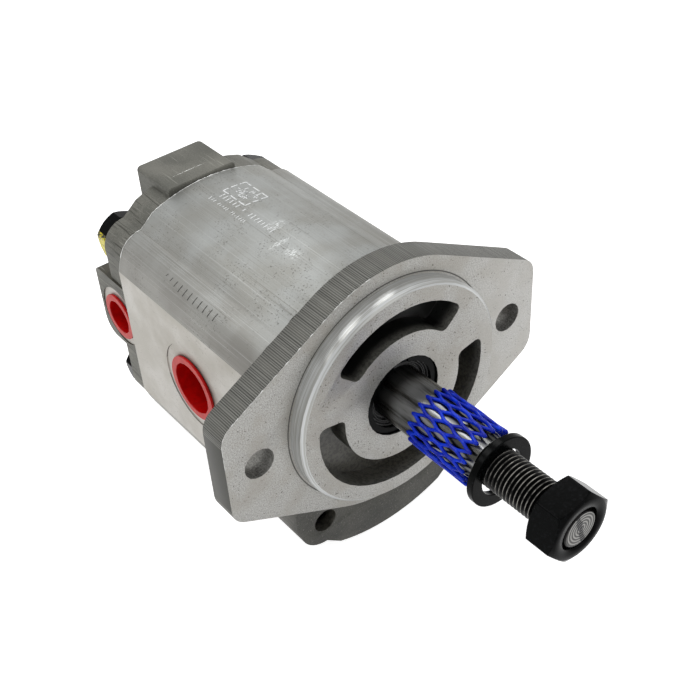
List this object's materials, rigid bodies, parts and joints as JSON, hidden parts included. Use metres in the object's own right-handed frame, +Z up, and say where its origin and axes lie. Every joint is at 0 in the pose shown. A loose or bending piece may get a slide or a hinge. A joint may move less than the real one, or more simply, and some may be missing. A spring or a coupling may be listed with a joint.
{
  "type": "hydraulic fan motor",
  "caption": "Gear-type hydraulic motor with a two-bolt flange and pilot, side ports under plastic caps, and a tapered threaded shaft that turns a meshed gear pair.",
  "frame": {"origin": "where the shaft's axis meets the flange's mounting face", "axes": "-Y along the shaft, out of the flange; +X to the right seen from the front, along the flange's long way; +Z up, away from the idler gear"},
  "size_m": [0.1308, 0.2091, 0.1133],
  "materials": {
    "machined_aluminium": "machined, satin",
    "extruded_aluminium": "extruded, with fine lengthwise lines",
    "cast_aluminium": "dull cast",
    "bearing_aluminium": "machined",
    "ground_steel": "ground",
    "black_oxide_steel": "black oxide",
    "bronze": "plain bearing lining",
    "black_rubber": "moulded",
    "green_rubber": "moulded",
    "red_plastic": "soft satin",
    "blue_plastic": "glossy strands"
  },
  "bodies": {
    "housing": {"front_cover": "machined_aluminium", "motor_body": "extruded_aluminium", "rear_cover": "cast_aluminium", "through_bolt_1": "black_oxide_steel", "through_bolt_2": "black_oxide_steel", "through_bolt_3": "black_oxide_steel", "through_bolt_4": "black_oxide_steel", "front_dowel_left": "ground_steel", "front_dowel_right": "ground_steel", "rear_dowel_left": "ground_steel", "rear_dowel_right": "ground_steel", "shaft_seal": "black_rubber", "seal_retaining_ring": "black_oxide_steel", "front_bearing_block": "bearing_aluminium", "rear_bearing_block": "bearing_aluminium", "front_balance_seal": "green_rubber", "rear_balance_seal": "green_rubber", "front_body_seal": "black_rubber", "rear_body_seal": "black_rubber", "drive_front_bush": "bronze", "drive_rear_bush": "bronze", "idler_front_bush": "bronze", "idler_rear_bush": "bronze"},
    "shaft": {"drive_shaft": "ground_steel", "shaft_key": "ground_steel"},
    "idler": {"idler_gear": "ground_steel"},
    "sleeve": {"net_sleeve": "blue_plastic"},
    "washer": {"shaft_washer": "black_oxide_steel"},
    "nut": {"shaft_nut": "black_oxide_steel"},
    "left_cap": {"port_cap_left": "red_plastic"},
    "right_cap": {"port_cap_right": "red_plastic"},
    "drain_cap": {"drain_port_cap": "red_plastic"}
  },
  "joints": [
    {"name": "shaft_spin", "type": "hinge", "parent": "housing", "child": "shaft", "pos_m": [0, 0, 0], "axis": [0, 1, 0], "continuous": true},
    {"name": "idler_spin", "type": "hinge", "parent": "housing", "child": "idler", "pos_m": [0, 0, -0.032], "axis": [0, 1, 0], "continuous": true},
    {"name": "sleeve_slide", "type": "slide", "parent": "shaft", "child": "sleeve", "axis": [0, -1, 0], "range_m": [0, 0.0026]},
    {"name": "washer_slide", "type": "slide", "parent": "shaft", "child": "washer", "axis": [0, -1, 0], "range_m": [-0.0018, 0.0203]},
    {"name": "nut_unscrew", "type": "slide", "parent": "shaft", "child": "nut", "axis": [0, -1, 0], "range_m": [0, 0.0115]},
    {"name": "left_cap_pull", "type": "slide", "parent": "housing", "child": "left_cap", "axis": [-1, 0, 0], "range_m": [0, 0.0125]},
    {"name": "right_cap_pull", "type": "slide", "parent": "housing", "child": "right_cap", "axis": [1, 0, 0], "range_m": [0, 0.0125]},
    {"name": "drain_cap_pull", "type": "slide", "parent": "housing", "child": "drain_cap", "axis": [-1, 0, 0], "range_m": [0, 0.0095]}
  ],
  "couplings": [
    {"joint": "idler_spin", "follows": "shaft_spin", "ratio": -1}
  ]
}
